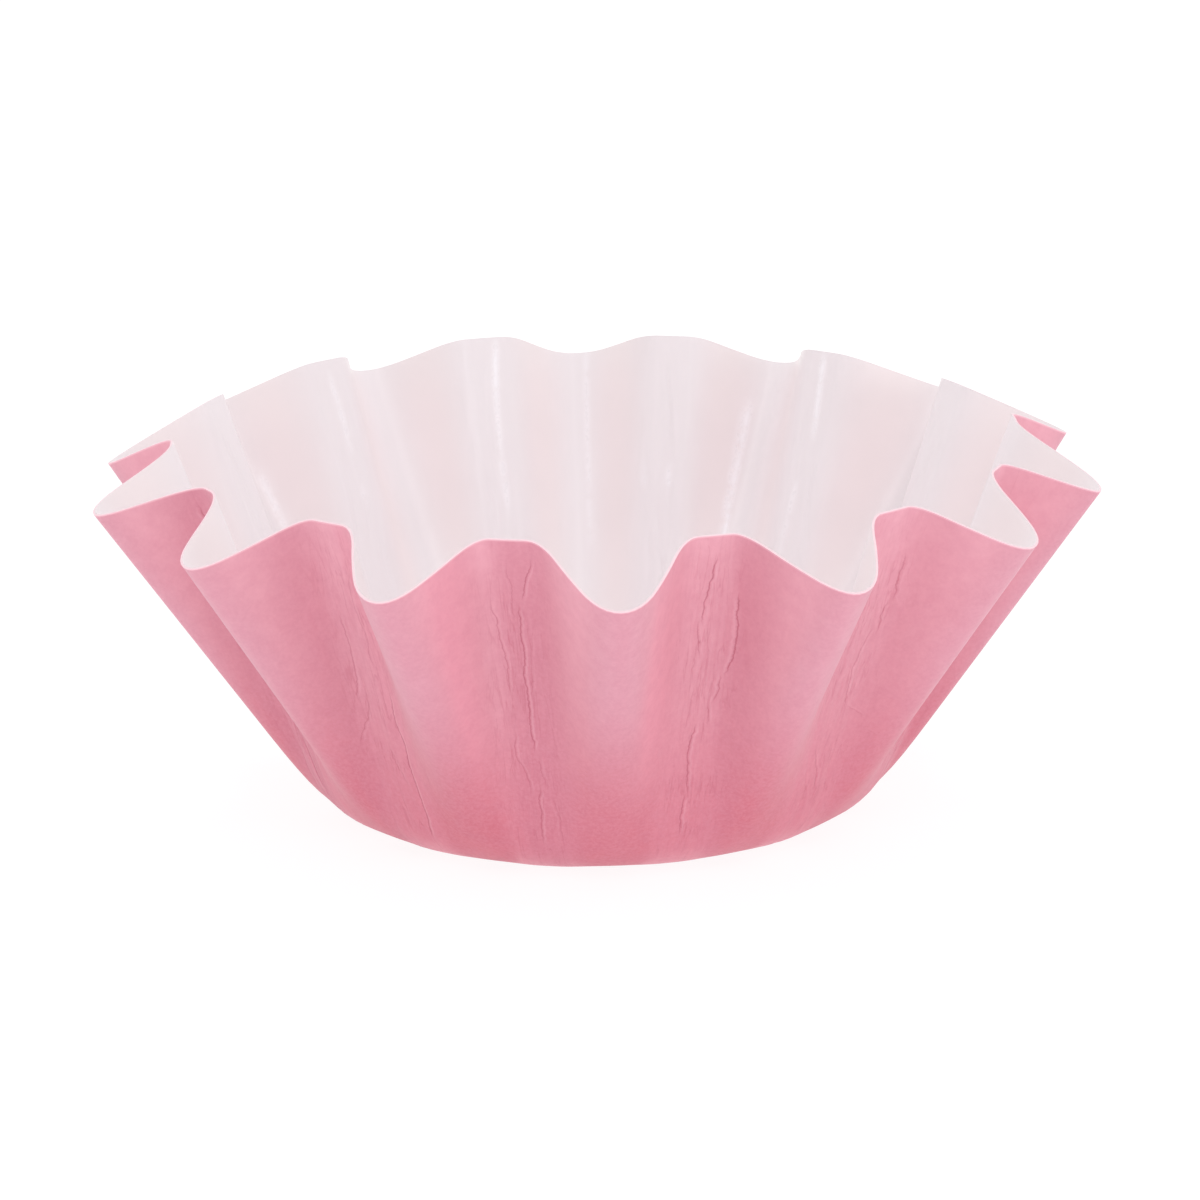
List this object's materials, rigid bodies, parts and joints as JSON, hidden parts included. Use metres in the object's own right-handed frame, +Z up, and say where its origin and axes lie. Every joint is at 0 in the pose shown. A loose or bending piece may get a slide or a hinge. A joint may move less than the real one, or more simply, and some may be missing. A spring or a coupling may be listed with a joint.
{
  "type": "cupcake liner",
  "caption": "Fluted paper baking cup with a flat round base, a rounded base corner and a flared, pleated wall, open at the top, pink outside and pearl white inside.",
  "frame": {"origin": "centre of the round base, on the underside that rests on the table", "axes": "+Z up along the cup's axis, out of the open mouth; -Y is the front, towards the picture's camera; +X is the picture's right"},
  "size_m": [0.0915, 0.0941, 0.0356],
  "materials": {
    "pink_paper": "matte, finely mottled, with crinkles in the folds",
    "pearl_inside": "satin coated, pearl white"
  },
  "bodies": {
    "root": {"liner": "pink_paper"}
  },
  "joints": []
}
